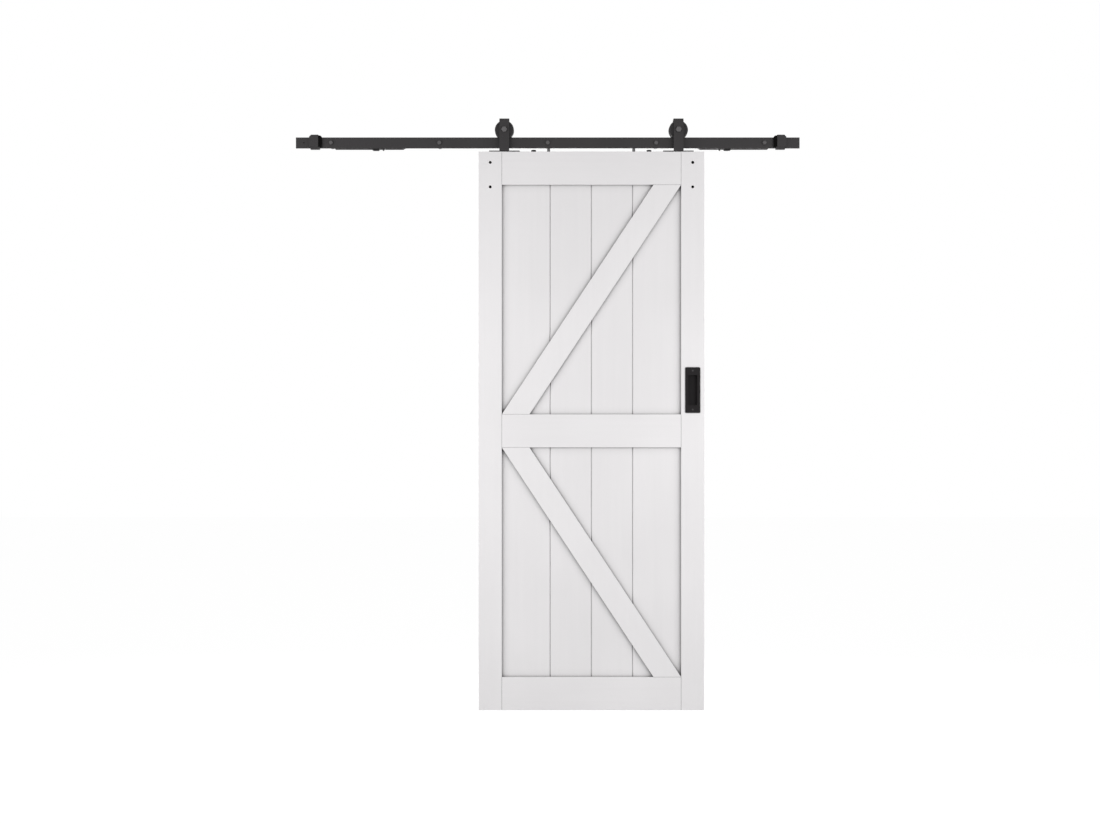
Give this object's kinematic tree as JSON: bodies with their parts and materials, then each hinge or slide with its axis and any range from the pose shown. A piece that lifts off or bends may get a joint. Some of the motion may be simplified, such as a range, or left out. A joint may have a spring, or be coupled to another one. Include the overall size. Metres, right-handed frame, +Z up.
{
  "type": "sliding barn door",
  "caption": "White plank barn door with diagonal braces, hung by two grooved rollers from a flat black wall rail with end stops and soft-close units.",
  "frame": {"origin": "on the axis of the middle wall bolt, in the plane of the wall", "axes": "+X right along the rail, +Y into the wall, +Z up; the front faces -Y"},
  "size_m": [1.86, 0.1135, 2.18],
  "materials": {
    "painted_wood": "matte white primer",
    "black_steel": "fine textured black powder coat",
    "dark_bolt_steel": "satin black with lighter worn faces",
    "zinc_steel": "bright zinc plate",
    "wheel_nylon": "black nylon, turned",
    "black_plastic": "moulded black",
    "bumper_rubber": "soft black rubber",
    "white_plastic": "matte white",
    "pull_metal": "matte black",
    "pull_screw_metal": "satin black"
  },
  "bodies": {
    "track": {"track_rail": "black_steel", "wall_spacers": "black_steel", "wall_washers": "black_steel", "wall_bolts": "dark_bolt_steel", "stop_set_screws": "zinc_steel", "left_stop_block": "black_steel", "right_stop_block": "black_steel", "left_stop_bumper": "bumper_rubber", "right_stop_bumper": "bumper_rubber", "left_soft_close_channel": "black_steel", "right_soft_close_channel": "black_steel", "left_channel_end_caps": "black_plastic", "right_channel_end_caps": "black_plastic", "soft_close_screws": "zinc_steel", "left_damper_cylinder": "zinc_steel", "right_damper_cylinder": "zinc_steel", "left_soft_close_spring": "zinc_steel", "right_soft_close_spring": "zinc_steel"},
    "door": {"left_stile": "painted_wood", "right_stile": "painted_wood", "top_rail": "painted_wood", "mid_rail": "painted_wood", "bottom_rail": "painted_wood", "upper_brace": "painted_wood", "lower_brace": "painted_wood", "upper_plank_1": "painted_wood", "upper_plank_2": "painted_wood", "upper_plank_3": "painted_wood", "upper_plank_4": "painted_wood", "lower_plank_1": "painted_wood", "lower_plank_2": "painted_wood", "lower_plank_3": "painted_wood", "lower_plank_4": "painted_wood", "frame_screws": "zinc_steel", "frame_screw_caps": "white_plastic", "flush_pull": "pull_metal", "flush_pull_screws": "pull_screw_metal", "left_hanger_strap": "black_steel", "right_hanger_strap": "black_steel", "axle_bolts": "dark_bolt_steel", "axle_nuts": "dark_bolt_steel", "axle_bushings": "zinc_steel", "bearing_inner_rings": "zinc_steel", "door_top_screws": "zinc_steel", "anti_jump_discs": "black_plastic", "trigger_plates": "black_steel", "trigger_pins": "zinc_steel"},
    "left_wheel": {"left_wheel": "wheel_nylon", "left_bearing_outer_ring": "zinc_steel"},
    "right_wheel": {"right_wheel": "wheel_nylon", "right_bearing_outer_ring": "zinc_steel"},
    "left_slider": {"left_slider": "black_plastic", "left_damper_rod": "zinc_steel"},
    "right_slider": {"right_slider": "black_plastic", "right_damper_rod": "zinc_steel"},
    "left_claw": {"left_claw": "black_plastic", "left_claw_finger": "black_plastic"},
    "right_claw": {"right_claw": "black_plastic", "right_claw_finger": "black_plastic"}
  },
  "joints": [
    {"name": "door_slide", "type": "slide", "parent": "track", "child": "door", "axis": [1, 0, 0], "range_m": [-0.6207, 0.3267], "deforming": ["left_claw_finger", "right_claw_finger"]},
    {"name": "left_wheel_spin", "type": "hinge", "parent": "door", "child": "left_wheel", "pos_m": [-0.16, -0.036, 0.0461], "axis": [0, 1, 0], "continuous": true},
    {"name": "right_wheel_spin", "type": "hinge", "parent": "door", "child": "right_wheel", "pos_m": [0.482, -0.036, 0.0461], "axis": [0, 1, 0], "continuous": true},
    {"name": "left_slider_slide", "type": "slide", "parent": "track", "child": "left_slider", "axis": [1, 0, 0], "range_m": [0, 0.055], "stiffness_N_per_m": 180, "springref_m": -0.04, "deforming": ["left_soft_close_spring"]},
    {"name": "left_claw_tip", "type": "hinge", "parent": "left_slider", "child": "left_claw", "pos_m": [-0.6453, -0.024, -0.01], "axis": [0, -1, 0], "range_deg": [0, 18]},
    {"name": "right_slider_slide", "type": "slide", "parent": "track", "child": "right_slider", "axis": [-1, 0, 0], "range_m": [0, 0.055], "stiffness_N_per_m": 180, "springref_m": -0.04, "deforming": ["right_soft_close_spring"]},
    {"name": "right_claw_tip", "type": "hinge", "parent": "right_slider", "child": "right_claw", "pos_m": [0.6733, -0.024, -0.01], "axis": [0, 1, 0], "range_deg": [0, 18]}
  ],
  "couplings": [
    {"joint": "left_wheel_spin", "follows": "door_slide", "rad_per_m": 38.462},
    {"joint": "right_wheel_spin", "follows": "door_slide", "rad_per_m": 38.462}
  ]
}
